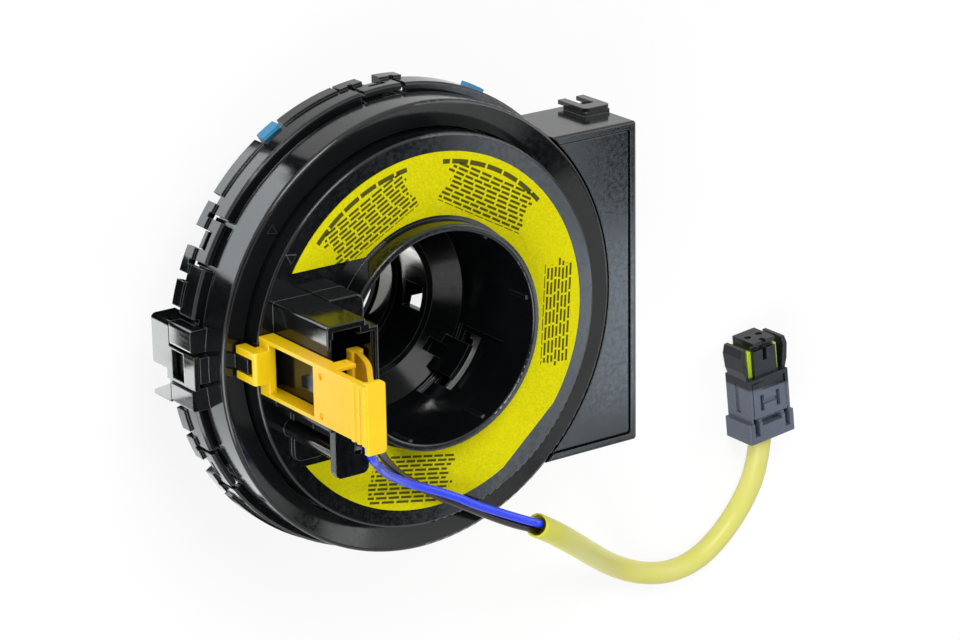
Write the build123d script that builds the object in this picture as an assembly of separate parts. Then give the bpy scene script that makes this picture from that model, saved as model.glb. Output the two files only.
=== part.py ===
from build123d import *
import os
from math import degrees, pi, radians, tan

# Steering clock spring. A stator ring with a connector box stays on the steering
# column, a rotor turns inside it with the steering wheel, and a flat ribbon coiled
# between them carries the circuits. Millimetres. Z is the rotor's axis and points
# at the driver, and Z = 0 is the rear end of the hub's sleeve.

# Levels along the axis
frontZ = 44.0  # front edge of the stator ring
bandDepth = 8.5
grooveDepth = 1.7
secondBandDepth = 5.6
toothDepth = 2.5
discRise = 3.0
collarRise = 8.5
chamberDepth = 16.5
floorThick = 1.5
bandZ = frontZ - bandDepth
grooveZ = bandZ - grooveDepth
secondZ = grooveZ - secondBandDepth
toothZ = secondZ - toothDepth
discZ = frontZ + discRise
floorZ = frontZ - chamberDepth
floorBackZ = floorZ - floorThick

# Radii of the stator, each taken from the ring's outside
coverR = 52.5
coverWall = 1.5
lipWidth = 6.3  # dished face, outside to lip
lipDrop = 1.8
grooveStep = 1.0
secondStep = 1.9
secondWall = 1.5
toothStep = 0.6
chamberWall = 1.9
chamberInset = 3.9
lipR = coverR - lipWidth
grooveR = coverR - grooveStep
secondR = coverR + secondStep
toothR = secondR + toothStep
chamberR = coverR - chamberInset

# Fits
runGap = 0.5
seatGap = 0.3
slideGap = 0.4
snapGap = 0.2

# Radii of the rotor
discR = lipR - runGap
discThick = 1.8
skirtDrop = 3.5
barrelR = 26.2
boreR = 24.5
recess = 0.8
ledgeR = 19.0
sleeveR = 17.4
sleeveEndR = 16.0
sleeveWall = 2.2
floorHoleR = barrelR + 1.7

# Connector box beside the ring
boxRight = 60.6
boxTop = 37.9
boxBottom = -40.3
boxDepth = 20.4
boxWall = 1.8
boxBead = 0.7
boxCorner = 0.8
boxSeamR = coverR + 0.9  # inside of the box beside the ring
plateInset = 0.4
plateThick = 1.6

# Windowed straps that hold the two stator halves together
strapFirst = 92.4
strapPitch = 58.2
strapAngles = [strapFirst + i * strapPitch for i in range(4)]
strapWidth = 9.7
slotWidth = 1.2
strapBar = 2.0
wedgeDrop = 1.8  # open slot between a strap's bar and its wedge
windowWide = 4.4
ribThick = 0.7
toothArc = 6.2
toothGap = 2.4  # from a strap's middle to its teeth, in degrees
tabAngles = (120.8, 61.0)
tabArc = 5.0

# Bracket on the left
bracketX = -(coverR + 3.65)
bracketTop = 9.2
bracketLow = -9.4
armHigh = 5.3
armZ = frontZ - 7.0
plateZ = frontZ - 5.6
lugLong = 7.4
lugWall = 1.6
latchPlate = 1.2
linkX = 1.4 - secondR

# Latch windows between the barrel and the lower hub
latchAngles = (-42.5, 77.5, 197.5)
panelHalf = 22.5

# Lock clip that keeps the rotor centred until the part is fitted
clipOut = -(lipR - 1.2)
clipLow = -4.4
clipHigh = 8.7
clipEnd = frontZ + 45.0
clipWeb = 1.7
railThick = 0.9
railDeep = 3.7
ribY0 = 1.1
ribY1 = 4.3

# Connector block on the rotor
blockLeft = -41.0
blockRight = -28.0
blockLow = -8.5
blockTop = 15.5
blockZ = frontZ + 24.5
blockWall = 1.4
cavityZ = frontZ + 6.0

# Lead to the steering wheel: two wires, a sheath and a plug on the surface below
wireD = 2.0
sheathD = 5.8
sheathBore = 4.8
mouthDeep = 3.0
plugLong = 27.0
plugCollar = 5.6
plugMiddle = 17.4
plugWide = 12.8
plugHigh = 9.6
plugCore = 3.6
plugPinHigh = 4.6
plugRear = (131.6, -66.4)
plugTurn = 96.0


def turned(points, start=0.0, arc=360.0):
    """Solid of revolution about Z from (radius, height) points."""
    face = make_face(Polyline(*points, close=True))
    solid = revolve(Plane.XZ * face, Axis.Z, arc)
    return Rot(0, 0, start) * solid


def turnedFace(face, start=0.0, arc=360.0):
    return Rot(0, 0, start) * revolve(Plane.XZ * face, Axis.Z, arc)


def ringSector(inner, outer, low, high, start=0.0, arc=360.0):
    return turned([(inner, low), (outer, low), (outer, high), (inner, high)], start, arc)


def tube(radius, low, high, x=0.0, y=0.0):
    return Pos(x, y, low) * extrude(Circle(radius), high - low)


def block(x0, x1, y0, y1, z0, z1):
    return Pos((x0 + x1) / 2, (y0 + y1) / 2, (z0 + z1) / 2) * Box(x1 - x0, y1 - y0, z1 - z0)


def prism(points, low, high):
    return Pos(0, 0, low) * extrude(make_face(Polyline(*points, close=True)), high - low)


def sideProfile(points, y0, y1):
    """Prism of an (x, z) outline between two y values."""
    face = make_face(Polyline(*points, close=True))
    return Pos(0, y1, 0) * extrude(Plane.XZ * face, y1 - y0)


def rounded(face, corners, radius):
    for corner in corners:
        near = face.vertices().sort_by_distance((corner[0], corner[1], 0))[0]
        face = fillet(near, radius)
    return face


def triangle(x, y, size, turn, low, high):
    face = Polygon((0, size * 0.62), (-size / 2, -size * 0.38), (size / 2, -size * 0.38), align=None)
    return Pos(x, y, low) * Rot(0, 0, turn) * extrude(face, high - low)


def boxOutline(inset, ringR):
    """Connector box outline: a rectangle bitten by the ring, inset from its walls."""
    wide = boxRight - 30.0 - inset
    high = boxTop - boxBottom - 2 * inset
    face = Pos(30.0 + wide / 2, (boxTop + boxBottom) / 2) * Rectangle(wide, high)
    face = face - Circle(ringR)
    right = face.vertices().group_by(Axis.X)[-1]
    return fillet(right, boxCorner)


# Stator, front half

def dishedRing():
    lip = frontZ - lipDrop
    points = [
        (lipR, lip), (coverR - 0.9, frontZ), (coverR, frontZ), (coverR, bandZ),
        (coverR - coverWall, bandZ), (coverR - coverWall, frontZ - 2.4), (lipR + 1.2, lip - 1.6),
        (lipR + 1.2, lip - 4.2), (lipR, lip - 4.2),
    ]
    face = make_face(Polyline(*points, close=True))
    face = rounded(face, [(coverR, frontZ)], 0.85)
    return turnedFace(face)


def strapSpan():
    """Angle between the middles of the two slots beside a strap, and of one slot."""
    return degrees((strapWidth + slotWidth) / secondR), degrees(slotWidth / secondR)


def strapTongue(angle):
    """Tongue behind a strap, its two guide ribs and the wedge that fills the window."""
    inner = coverR - coverWall + 0.1
    wide = strapSpan()[0]
    low = secondZ - 0.4
    tongue = ringSector(inner, coverR - 0.15, low, bandZ + 0.6, angle - wide / 2, wide)
    ribs = [
        Rot(0, 0, angle + side) * block(inner, coverR - 0.1, -ribThick / 2, ribThick / 2, low, bandZ + 0.6)
        for side in (-wide / 2, wide / 2)
    ]
    top = grooveZ - strapBar - wedgeDrop
    outer = secondR - seatGap
    wedge = sideProfile(
        [(coverR - 0.6, top), (outer, top), (outer, secondZ + 0.6), (coverR - 0.6, low)],
        -windowWide / 2 + snapGap, windowWide / 2 - snapGap,
    )
    return tongue + ribs + Rot(0, 0, angle) * wedge


def lockRib():
    return block(-(lipR + 2.4), -lipR - 0.2, ribY0, ribY1, frontZ - lipDrop + 0.1, frontZ + 4.2)


def bracketArms():
    """Two arms on the side band that reach back past it to the bracket's seam."""
    arms = []
    for y0, y1 in ((bracketTop - armHigh, bracketTop), (bracketLow, bracketLow + armHigh - 0.2)):
        arm = block(bracketX, linkX - seatGap, y0, y1, secondZ, armZ)
        arms.append(fillet(arm.edges().filter_by(Axis.Z).group_by(Axis.X)[0], 0.8))
        arms.append(block(bracketX + 1, 1 - coverR, y0, y1, bandZ, armZ))
    return Part() + arms - tube(coverR - 0.7, toothZ - 2, frontZ)


def latchLoop():
    """Loop behind the latch window, hanging from the ring's side band."""
    left = bracketX + latchPlate + seatGap
    thick = linkX - seatGap - left
    low = secondZ + 1.6
    loop = block(left, 1.3 - coverR, -2.8, 3.2, bandZ, plateZ)
    loop = loop + block(left, left + thick, -2.8, 3.2, low, plateZ)
    loop = loop - block(left - 1, left + thick + 0.5, -1.6, 2.0, low + 1.2, bandZ)
    return loop - tube(coverR - 0.7, toothZ - 2, frontZ)


def frontCover():
    body = dishedRing()
    for angle in strapAngles:
        body = body + strapTongue(angle)
    body = body + lockRib() + bracketArms() + latchLoop()
    return body + triangle(-38.0, 30.2, 2.4, 142 + 90, frontZ - 2.0, frontZ - 0.7)


# Stator, rear half

def housingShell():
    """Coil chamber wall, groove, second band and floor in one turned section."""
    points = [
        (floorHoleR, floorZ), (chamberR, floorZ), (chamberR, frontZ - 5.0),
        (coverR - coverWall - seatGap, frontZ - 5.0), (coverR - coverWall - seatGap, bandZ), (grooveR, bandZ),
        (grooveR, grooveZ), (secondR - 0.5, grooveZ),
        (secondR, grooveZ - 0.5), (secondR, secondZ), (secondR - secondWall, secondZ),
        (secondR - secondWall, grooveZ - 1.4), (chamberR + chamberWall, grooveZ - 1.4),
        (chamberR + chamberWall, floorBackZ), (floorHoleR, floorBackZ),
    ]
    return turned(points)


def rimTeeth():
    """Teeth either side of each strap and the long runs of rim between them."""
    spans = []
    for angle in strapAngles:
        spans += [(angle - toothGap - toothArc, toothArc), (angle + toothGap, toothArc)]
    far = toothGap + toothArc
    tabLow = tabAngles[0] - tabArc / 2 - 1.0
    tabHigh = tabAngles[0] + tabArc / 2 + 1.0
    spans.append((strapAngles[0] + far + 0.7, tabLow - strapAngles[0] - far - 0.7))
    spans.append((tabHigh, strapAngles[1] - far - 2.2 - tabHigh))
    spans.append((strapAngles[1] + far + 2.0, 6.0))
    spans.append((192.5, 5.6))
    for angle in strapAngles[2:]:
        spans.append((angle + far + 2.2, strapPitch - 2 * far - 4.4))
    inner = secondR - secondWall + 0.3
    return [ringSector(inner, toothR, toothZ, secondZ + 0.6, start, arc) for start, arc in spans]


def strapCuts(angle):
    """Two slots beside a strap, the gap behind it and its window, open to the rear."""
    wide, slot = strapSpan()
    high = bandZ + 0.5
    low = secondZ - 1.0
    inner = coverR - coverWall - 0.1
    outer = secondR - secondWall + 0.05
    behind = ringSector(inner, outer, low, high, angle - wide / 2 - slot / 2, wide + slot)
    half = slotWidth / 2
    sides = [
        Rot(0, 0, angle + side) * block(inner, toothR + 1, -half, half, secondZ - 0.05, high)
        for side in (-wide / 2, wide / 2)
    ]
    half = windowWide / 2
    window = block(coverR - 0.5, toothR + 1, -half, half, toothZ - 1, grooveZ - strapBar)
    return [behind, Rot(0, 0, angle) * window] + sides


def boxShell():
    """Connector box: beaded walls, a ledge for its cover and a floor."""
    back = frontZ - boxDepth
    outer = extrude(Pos(0, 0, back) * boxOutline(0, coverR + seatGap), boxDepth)
    bead = outer.edges().group_by(Axis.Z)[-1].filter_by(GeomType.LINE)
    outer = fillet(bead, boxBead)
    well = extrude(Pos(0, 0, frontZ - plateInset - plateThick) * boxOutline(boxWall, 0.1), 4.0)
    inside = extrude(Pos(0, 0, back + boxWall) * boxOutline(boxWall + 0.7, boxSeamR), boxDepth)
    slot = block(41, 54, boxTop - 1.0, boxTop + 1, frontZ - 18.65, frontZ - 17.95)
    return outer - well - inside - slot


def socketShroud(x0, x1, y0, y1):
    """Shroud of a rear-facing socket, open at the back."""
    back = frontZ - boxDepth
    face = Pos((x0 + x1) / 2, (y0 + y1) / 2, back - 6.0) * RectangleRounded(x1 - x0, y1 - y0, 1.2)
    return extrude(face, 6.0)


def socketWell(x0, x1, y0, y1):
    back = frontZ - boxDepth
    well = block(x0 + 1.3, x1 - 1.3, y0 + 1.3, y1 - 1.3, back - 7, back + boxWall + 0.1)
    key = block(x0 + 4.2, x1 - 4.2, y1 - 1.4, y1 - 0.6, back - 7, back + 1)
    return well + key


def wireClip():
    """Open fork on the box's top wall, on a low pedestal."""
    pedestal = block(53.0, 60.0, boxTop - 0.4, boxTop + 1.0, frontZ - 18.0, frontZ - 9.5)
    plate = block(52.9, 60.3, boxTop + 1.0, boxTop + 2.0, frontZ - 20.0, frontZ - 9.5)
    fork = block(55.0, 58.2, boxTop + 0.5, boxTop + 3, frontZ - 21, frontZ - 13.0)
    plate = fillet(plate.edges().filter_by(Axis.Y).group_by(Axis.Z)[-1], 1.2)
    return pedestal + plate - fork


def bracketRear():
    """Latch plate with its window, and the two rear lugs that meet the cover's arms."""
    seam = secondZ - seatGap
    back = seam - lugLong
    deep = -(secondR - 4.4)
    link = block(bracketX + 0.6, deep, bracketLow, bracketTop, seam - 1.4, seam)
    link = link + block(linkX, deep, bracketLow, bracketTop, seam - 1.4, grooveZ)
    upper = block(bracketX, deep, -2.0, bracketTop, back, seam)
    upper = fillet(upper.edges().filter_by(Axis.Z).group_by(Axis.X)[0].group_by(Axis.Y)[-1], 1.2)
    inside = bracketX + lugWall
    hollow = block(inside, deep + 1, lugWall - 2.0, bracketTop - lugWall, back - 1, seam - lugWall)
    upper = upper - hollow
    wedge = Polyline(
        (bracketLow, seam), (bracketLow, back), (bracketLow + 0.9, back), (bracketLow + armHigh - 0.9, seam),
        close=True,
    )
    lower = Pos(bracketX, 0, 0) * extrude(make_face(Plane.YZ * wedge), deep - bracketX, dir=(1, 0, 0))
    inner = bracketX + latchPlate
    plate = block(bracketX, inner, bracketLow + armHigh, bracketTop - armHigh - seatGap, seam - 1.4, plateZ)
    window = block(bracketX - 1, inner + 0.2, -3.4, 3.2, seam + 1.1, bandZ - 1.6)
    return link + upper + lower + plate - window


def rearRibs():
    """Collar and radial ribs that stiffen the floor behind the coil."""
    collar = ringSector(33.5, 35.0, floorBackZ - 3.5, floorBackZ + 0.2)
    rib = block(34.6, chamberR + chamberWall - 0.1, -0.6, 0.6, floorBackZ - 1.8, floorBackZ + 0.2)
    ribs = [Rot(0, 0, 30 * i + 10) * rib for i in range(12)]
    return collar + ribs


def rearHousing():
    bracketGap = ringSector(coverR + 0.2, toothR + 1, toothZ - 1, grooveZ + 0.1, 168.8, 22.2)
    boxGap = extrude(Pos(0, 0, toothZ - 1) * boxOutline(0, coverR + seatGap), 30)
    body = housingShell() + rimTeeth()
    for angle in strapAngles:
        body = body - strapCuts(angle)
    body = body - bracketGap - (boxGap - tube(coverR - 0.2, toothZ - 2, frontZ + 20))
    body = body + bracketRear() + rearRibs()
    link = extrude(Pos(0, 0, frontZ - boxDepth) * boxOutline(0, chamberR + 1.2), grooveZ - frontZ + boxDepth)
    hollow = boxOutline(boxWall + 0.7, chamberR + chamberWall - 0.1)
    link = link - extrude(Pos(0, 0, frontZ - boxDepth + boxWall) * hollow, boxDepth)
    body = body + link + boxShell()
    for span in ((42.5, 57.5, 14.0, 35.0), (42.5, 57.5, -37.4, -19.0)):
        body = body + socketShroud(*span) - socketWell(*span)
    ribbonWindow = block(46.4, 55.0, 9.0, 24.0, floorZ + 0.4, grooveZ - 0.2)
    ribbonWindow = ribbonWindow + block(46.4, 50.6, 9.0, 16.6, floorZ + 0.4, frontZ - 4.0)
    return body + wireClip() - ribbonWindow


def boxCover():
    outline = boxOutline(boxWall + 0.15, coverR + seatGap)
    plate = extrude(Pos(0, 0, frontZ - plateInset - plateThick) * outline, plateThick)
    return fillet(plate.edges().group_by(Axis.Z)[-1].filter_by(GeomType.LINE), 0.4)


# Electrical parts that stay with the stator

def statorLeadBlock():
    """Carrier in the box that joins the ribbon's outer end to the rear sockets."""
    low = frontZ - boxDepth + boxWall
    body = extrude(Pos(0, 0, low) * boxOutline(boxWall + 1.0, boxSeamR + 0.8), 6.0)
    nose = block(chamberR, secondR + 1.6, 16.2, 23.4, floorZ + 0.8, grooveZ - 0.4)
    return body + nose - tube(chamberR - 0.4, low - 1, low + 10)


def columnTerminals():
    low = frontZ - boxDepth - 4.0
    high = frontZ - boxDepth + boxWall
    pin = block(-0.4, 0.4, -0.4, 0.4, low, high)
    places = [18.0 + 3.2 * i for i in range(5)] + [-33.0 + 3.2 * i for i in range(4)]
    return Compound(children=[Pos(x, y, 0) * pin for x in (46.2, 53.8) for y in places])


def blueLockingTabs():
    """Two coloured secondary locks that show behind the ring's rear rim."""
    tabs = []
    for angle in tabAngles:
        low = toothZ - snapGap
        tab = ringSector(secondR - secondWall + 0.1, toothR + 0.4, low, secondZ, angle - tabArc / 2, tabArc)
        tabs.append(tab)
    return Compound(children=tabs)


def damperSheet():
    return ringSector(floorHoleR + 0.4, chamberR - 0.4, floorZ, floorZ + 0.3)


def ribbonCable():
    """Flat ribbon: half turns that meet tangentially, a slack loop between two packs."""
    thick = 0.3
    low = floorZ + 0.6
    high = frontZ - 6.5
    steps = [0.35] * 5 + [7.5, 7.5] + [0.35] * 6
    radius = 28.6
    centre = 0.0
    start = 0.0
    halves = []
    for step in steps + [0.0]:
        ring = Circle(radius + thick / 2) - Circle(radius - thick / 2)
        side = 1 if start == 0.0 else -1
        half = Pos(0, side * 50) * Rectangle(200, 100)
        halves.append(Pos(centre, 0) * (ring & half))
        centre += step if start == 0.0 else -step
        radius += step
        start = 180.0 - start
    edge = centre + radius
    tail = Pos(edge, 8.0) * Rectangle(thick, 16.0)
    shape = halves[0]
    for half in halves[1:]:
        shape = shape + half
    return Pos(0, 0, low) * extrude(shape + tail, high - low)


# Rotor

def discAndBarrel():
    points = [
        (boreR, frontZ - 19.5), (barrelR, frontZ - 19.5), (barrelR, discZ - discThick),
        (discR - 1.8, discZ - discThick), (discR - 1.8, frontZ - skirtDrop), (discR, frontZ - skirtDrop),
        (discR, discZ), (barrelR, discZ), (barrelR, frontZ + collarRise), (boreR, frontZ + collarRise),
    ]
    face = make_face(Polyline(*points, close=True))
    face = rounded(face, [(discR, discZ)], 0.6)
    face = rounded(face, [(barrelR, frontZ + collarRise), (boreR, frontZ + collarRise)], 0.5)
    return turnedFace(face)


def latchPanels():
    """Recessed panels in the bore, each with a window for the hub's latch."""
    cuts = []
    for angle in latchAngles:
        start = angle - panelHalf
        cuts.append(ringSector(boreR - 1, boreR + recess, frontZ - 18.5, frontZ - 1.5, start, 2 * panelHalf))
        cuts.append(ringSector(boreR - 1, barrelR + 1, frontZ - 16.8, frontZ - 10.5, angle - 12.5, 32))
    return cuts


def crushRibs():
    return [
        Rot(0, 0, angle) * block(boreR - 0.4, boreR + 0.4, -0.5, 0.5, frontZ, frontZ + 6.6)
        for angle in (-110, -62, 10, 58, 130, 178)
    ]


def connectorBlock():
    outline = make_face(Polyline(
        (blockLeft, blockLow), (blockRight, blockLow), (blockRight, 13.4), (-30.0, 13.4), (-30.0, 14.4),
        (-31.2, 14.4), (-31.2, blockTop), (blockLeft, blockTop), close=True,
    ))
    outline = rounded(outline, [(blockLeft, blockLow), (blockLeft, blockTop), (blockRight, blockLow)], 0.8)
    body = Pos(0, 0, discZ - 1) * extrude(outline, blockZ - discZ + 1)
    return fillet(body.edges().group_by(Axis.Z)[-1], 0.35)


def socketCavity():
    cavity = block(blockLeft + blockWall, -29.4, -5.4, 12.0, cavityZ, blockZ + 1)
    cavity = cavity + block(blockLeft + blockWall, -32.6, 11.0, 14.1, cavityZ, blockZ + 1)
    mouth = block(blockLeft + 0.9, -28.9, -5.9, 12.5, blockZ - 1.0, blockZ + 1)
    return cavity + mouth


def wireOutlet():
    """Hood on the block's front face, with a blind hole for each wire."""
    hood = block(-34.2, -28.9, blockLow, -6.1, blockZ - 0.5, blockZ + 2.9)
    hood = fillet(hood.edges().filter_by(Axis.Y).group_by(Axis.Z)[-1], 0.9)
    holes = [
        Pos(x, blockLow + 0.7, z) * Rot(90, 0, 0) * extrude(Circle(wireD / 2 + 0.2), 3.0)
        for x, z in ((bluePath[0][0], bluePath[0][2]), (blackPath[0][0], blackPath[0][2]))
    ]
    return hood, holes


def sideHousing():
    """Second, lower housing between the block and the collar."""
    edge = Polyline((-30.9, -6.0), (-26.6, -6.0), (-22.0, 3.0), (-22.0, 15.7), (-30.9, 15.7), close=True)
    face = make_face(edge)
    body = Pos(0, 0, discZ - 1) * extrude(rounded(face, [(-22.0, 15.7)], 2.0), 8.0)
    body = fillet(body.edges().group_by(Axis.Z)[-1], 0.4)
    return body - tube(boreR, 0, 200)


def lowerStep():
    """Plate ahead of the block's lower face, on a post and a web, with a foot below."""
    plate = block(-39.5, -31.0, -19.5, blockLow + 0.5, frontZ + 22, frontZ + 24)
    plate = fillet(plate.edges().filter_by(Axis.Z).group_by(Axis.Y)[0], 1.6)
    slot = block(-34.5, -32.9, -14.8, -12.2, frontZ + 21, frontZ + 25)
    post = tube(2.0, discZ - 1, frontZ + 22.5, -37.3, -14.2)
    web = block(-32.4, -31.1, -18.4, blockLow + 0.5, discZ - 1, frontZ + 22.5)
    foot = block(-37.4, -29.5, -22.0, blockLow + 0.5, discZ - 1, frontZ + 4.2)
    foot = fillet(foot.edges().filter_by(Axis.Z).group_by(Axis.Y)[0], 2.0)
    return plate - slot + post + web + foot


def rotorHousing():
    hood, holes = wireOutlet()
    body = discAndBarrel() + crushRibs() + connectorBlock() + sideHousing() + lowerStep() + hood
    body = body - socketCavity()
    for cut in latchPanels() + holes:
        body = body - cut
    return body + triangle(-36.0, 24.6, 2.4, 145 - 90, discZ - 0.5, discZ + 0.3)


def frontLabel():
    """Arc of printed film on the disc, stopping either side of the connector block."""
    arc = Circle(41.5) - Circle(27.0) - Pos(-29.0, -1.45) * Rectangle(48.0, 44.9)
    flat = Rot(0, 0, -49) * Pos(50.4 + 10, 0) * Rectangle(40.0, 60.0)
    return Pos(0, 0, discZ) * extrude(arc - flat, 0.2)


def socketTerminals():
    pins = [
        block(x - 0.35, x + 0.35, y - 0.35, y + 0.35, cavityZ, cavityZ + 8)
        for x in (-38.0, -35.6) for y in (-2.0, 1.6, 5.2, 8.8)
    ]
    return Compound(children=pins)


def rotorLeadBlock():
    """Moulded block on the barrel that holds the ribbon's inner end."""
    body = ringSector(barrelR, 28.3, floorZ + 1.0, frontZ - 4.0, -26, 25)
    return body + ringSector(barrelR, 30.6, frontZ - 5.0, discZ - discThick, -30, 34)


def hubBody():
    """Flange, cone, ledge and sleeve of the lower hub."""
    flangeZ = floorBackZ - slideGap
    seatZ = frontZ - 19.5
    ledgeZ = frontZ - 23.6
    stepZ = frontZ - 36.0
    points = [
        (barrelR + 0.2, flangeZ), (31.2, flangeZ), (31.2, flangeZ - 1.6), (27.8, seatZ - 1.2),
        (22.2, ledgeZ - 1.6), (sleeveR + sleeveWall, ledgeZ - 3.4), (sleeveR + sleeveWall, 0.6),
        (sleeveR + sleeveWall - 0.6, 0), (sleeveEndR, 0), (sleeveEndR, stepZ), (sleeveR, stepZ),
        (sleeveR, ledgeZ),
        (ledgeR, ledgeZ), (boreR, seatZ), (barrelR + 0.2, seatZ),
    ]
    return turned(points)


def latchTongue(angle):
    """Tongue that rises inside the barrel, its barb caught in the barrel's window."""
    seatZ = frontZ - 19.5
    inner = boreR - 1.5
    tongue = ringSector(inner, boreR - 0.2, seatZ - 1.0, frontZ - 11.0, angle - 8, 22)
    barb = sideProfile(
        [(inner + 0.6, frontZ - 11.6), (barrelR - 0.2, frontZ - 15.2), (inner + 0.6, frontZ - 15.2)], -1.6, 1.6)
    return tongue + Rot(0, 0, angle + 4) * barb


def cancelCams():
    """Two lobes near the sleeve's end that reset the turn-signal switch."""
    lobe = Circle(24.4) & (Rectangle(60, 9.0))
    lobe = fillet(lobe.vertices(), 1.5)
    return Pos(0, 0, 5.0) * extrude(lobe, 6.5)


def lowerHub():
    body = hubBody() + cancelCams()
    body = body - tube(sleeveEndR, -1, frontZ - 36) - tube(sleeveR, frontZ - 36, frontZ - 24)
    for angle in latchAngles:
        body = body + latchTongue(angle)
    window = Rot(0, 0, -10.3) * block(16, 21, -2.9, 2.9, frontZ - 32.5, frontZ - 25.5)
    slot = Rot(0, 0, -38.5) * block(20.5, 23.3, -1.7, 1.7, frontZ - 24, frontZ - 18)
    return body - window - slot


# Lock clip

def clipPlate():
    """Plate with a large window, two rails and a thick rear end."""
    low = discZ + 0.35
    web = block(clipOut, clipOut + clipWeb, clipLow, clipHigh, low, clipEnd)
    rails = [
        block(clipOut, clipOut + railDeep, y, y + railThick, low, frontZ + 27.0)
        for y in (clipLow, clipHigh - railThick)
    ]
    heel = block(clipOut, clipOut + clipWeb, clipLow, clipHigh, low, frontZ + 7.2)
    low, high = clipLow + railThick, clipHigh - railThick
    window = block(clipOut - 1, clipOut + 5, low, high, frontZ + 7.2, frontZ + 24.7)
    dimples = [
        Pos(clipOut - 0.3, y, frontZ + 27.5) * Rot(0, 90, 0) * extrude(Circle(0.8), 0.8) for y in (6.3, -2.7)
    ]
    plate = web + rails + heel - window
    return plate - dimples


def clipFork():
    """Fork that straddles the stator's lock rib."""
    low = frontZ - 0.4
    fork = block(-(lipR + 2.4), -lipR + 0.1, -1.0, 6.4, low, frontZ + 7.2)
    fork = fork + block(-lipR, clipOut + 0.5, -1.0, 6.4, discZ + 0.35, frontZ + 7.2)
    fork = fillet(fork.edges().filter_by(Axis.Y).group_by(Axis.X)[0].group_by(Axis.Z)[-1], 0.8)
    slot = block(-(lipR + 3), clipOut - 0.9, ribY0 - slideGap, ribY1 + slideGap, low - 1, frontZ + 6.0)
    return fork - slot


def clipGrip():
    """End flange, thumb ribs and the tab beside the plate."""
    flange = block(clipOut, clipOut + 4.6, -6.3, 9.6, clipEnd - 1.0, clipEnd + 0.4)
    flange = fillet(flange.edges().filter_by(Axis.Z).group_by(Axis.X)[-1], 1.0)
    ribs = [
        block(clipOut - 0.45, clipOut + 0.2, clipLow, clipHigh, frontZ + z, frontZ + z + 1.0)
        for z in (39.8, 41.8, 43.7)
    ]
    tab = block(clipOut + 0.5, -38.2, clipHigh - 0.9, clipHigh, frontZ + 27.4, frontZ + 31.0)
    return flange + ribs + tab


def clipArm():
    """Curved spring arm that reaches into the socket, with a rounded head."""
    ends = [(0.25, -1.0), (0.18, -1.0)]
    inner = Spline((-42.6, frontZ + 44.4), (-35.9, frontZ + 31.3), (-32.6, frontZ + 21.5), tangents=ends)
    outer = Spline((-41.2, frontZ + 44.4), (-34.6, frontZ + 31.5), (-31.3, frontZ + 21.3), tangents=ends)
    caps = [Line(inner @ 1, outer @ 1), Line(outer @ 0, inner @ 0)]
    face = make_face([inner, outer] + caps)
    arm = Pos(0, 7.6, 0) * extrude(Plane.XZ * face, 10.2)
    head = block(-33.2, -30.0, -2.6, 7.6, frontZ + 19.0, frontZ + 22.0)
    head = fillet(head.edges().filter_by(Axis.Y), 0.9)
    return arm + head


def lockClip():
    return clipPlate() + clipFork() + clipGrip() + clipArm()


# Lead to the steering wheel

bluePath = [
    (-32.6, -7.9, 70.3), (-32.9, -12.6, 70.2), (-30.5, -16.9, 69.0), (-25.6, -20.8, 63.0), (-20.3, -25.5, 58.2),
    (-14.8, -29.3, 54.0), (-9.4, -32.7, 51.3), (-3.4, -35.6, 50.5), (3.2, -38.9, 50.4), (9.4, -42.7, 50.2),
    (16.2, -46.3, 49.6), (22.6, -49.6, 49.4), (28.4, -52.4, 49.2),
]
blackPath = [
    (-30.1, -7.9, 70.0), (-29.7, -12.0, 69.4), (-27.4, -15.8, 66.6), (-23.4, -19.4, 61.8), (-19.2, -23.2, 57.0),
    (-14.6, -27.3, 52.4), (-10.0, -31.4, 49.2), (-5.0, -35.1, 48.3), (0.4, -39.0, 48.2), (6.2, -42.3, 48.3),
    (12.6, -46.1, 48.2), (19.2, -49.9, 48.1), (24.6, -52.6, 47.7), (28.8, -54.5, 47.4),
]
sheathPath = [
    (27.7, -52.75, 48.6), (33.1, -56.1, 46.7), (46.5, -65.5, 36.2), (61.5, -76.2, 22.2), (74.2, -85.3, 10.8),
    (84.0, -92.1, 4.4), (93.2, -96.9, 3.0), (102.5, -99.1, 3.0), (111.7, -98.0, 3.0), (119.6, -93.3, 3.0),
    (126.9, -85.6, 3.2), (131.0, -75.6, 4.4), (131.5, -65.7, 4.8),
]


def routeRadii(points):
    """Largest even arc at each inner point: 0.45 of the shorter run over tan(half turn)."""
    radii = []
    for before, here, after in zip(points, points[1:], points[2:]):
        first = Vector(*here) - Vector(*before)
        second = Vector(*after) - Vector(*here)
        turn = radians(first.get_angle(second))
        radii.append(0.45 * min(first.length, second.length) / tan(turn / 2))
    return radii


def cord(name, points, diameter):
    radii = routeRadii(points)
    route = FilletPolyline(*points, radius=radii)
    section = Plane(route @ 0, z_dir=route % 0) * Circle(diameter / 2)
    body = sweep(section, path=route)
    expected = pi * diameter ** 2 / 4 * route.length
    print(name, "length", round(route.length, 1), "radii", [round(r, 1) for r in radii])
    print(name, "volume ratio", round(body.volume / expected, 4))
    return body, route


def leadSheath():
    body, route = cord("lead_sheath", sheathPath, sheathD)
    mouth = Plane(route @ 0, z_dir=route % 0) * extrude(Circle(sheathBore / 2), mouthDeep)
    return body - mouth


def plugPlace():
    return Pos(plugRear[0], plugRear[1], 0) * Rot(0, 0, plugTurn)


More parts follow.
